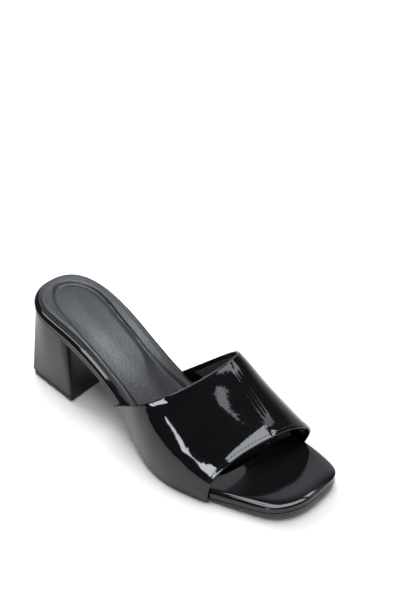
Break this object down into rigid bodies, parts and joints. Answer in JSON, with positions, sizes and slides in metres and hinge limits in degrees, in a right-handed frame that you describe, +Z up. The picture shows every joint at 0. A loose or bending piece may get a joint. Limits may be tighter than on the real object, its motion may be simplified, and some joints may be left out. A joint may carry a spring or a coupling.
{
  "type": "heeled slipper",
  "caption": "Right-foot heeled slipper: square open-toe mule with a wide patent vamp band over a wrapped footbed, on a flared block heel.",
  "frame": {"origin": "middle of the shoe's box, on the floor that it stands on", "axes": "+X from heel to toe, +Y to the inner side of this right shoe, +Z up"},
  "size_m": [0.2348, 0.0902, 0.0672],
  "materials": {
    "sole_rubber": "satin black moulded sole",
    "footbed_patent": "glossy black patent wrap",
    "sock_lining": "matte fine-grained black lining",
    "black_patent": "mirror-gloss black patent",
    "heel_cover": "satin black cover",
    "tip_rubber": "matte black rubber"
  },
  "bodies": {
    "root": {"outsole": "sole_rubber", "footbed": "footbed_patent", "sock": "sock_lining", "upper": "black_patent", "heel": "heel_cover", "heel_tip": "tip_rubber"}
  },
  "joints": []
}
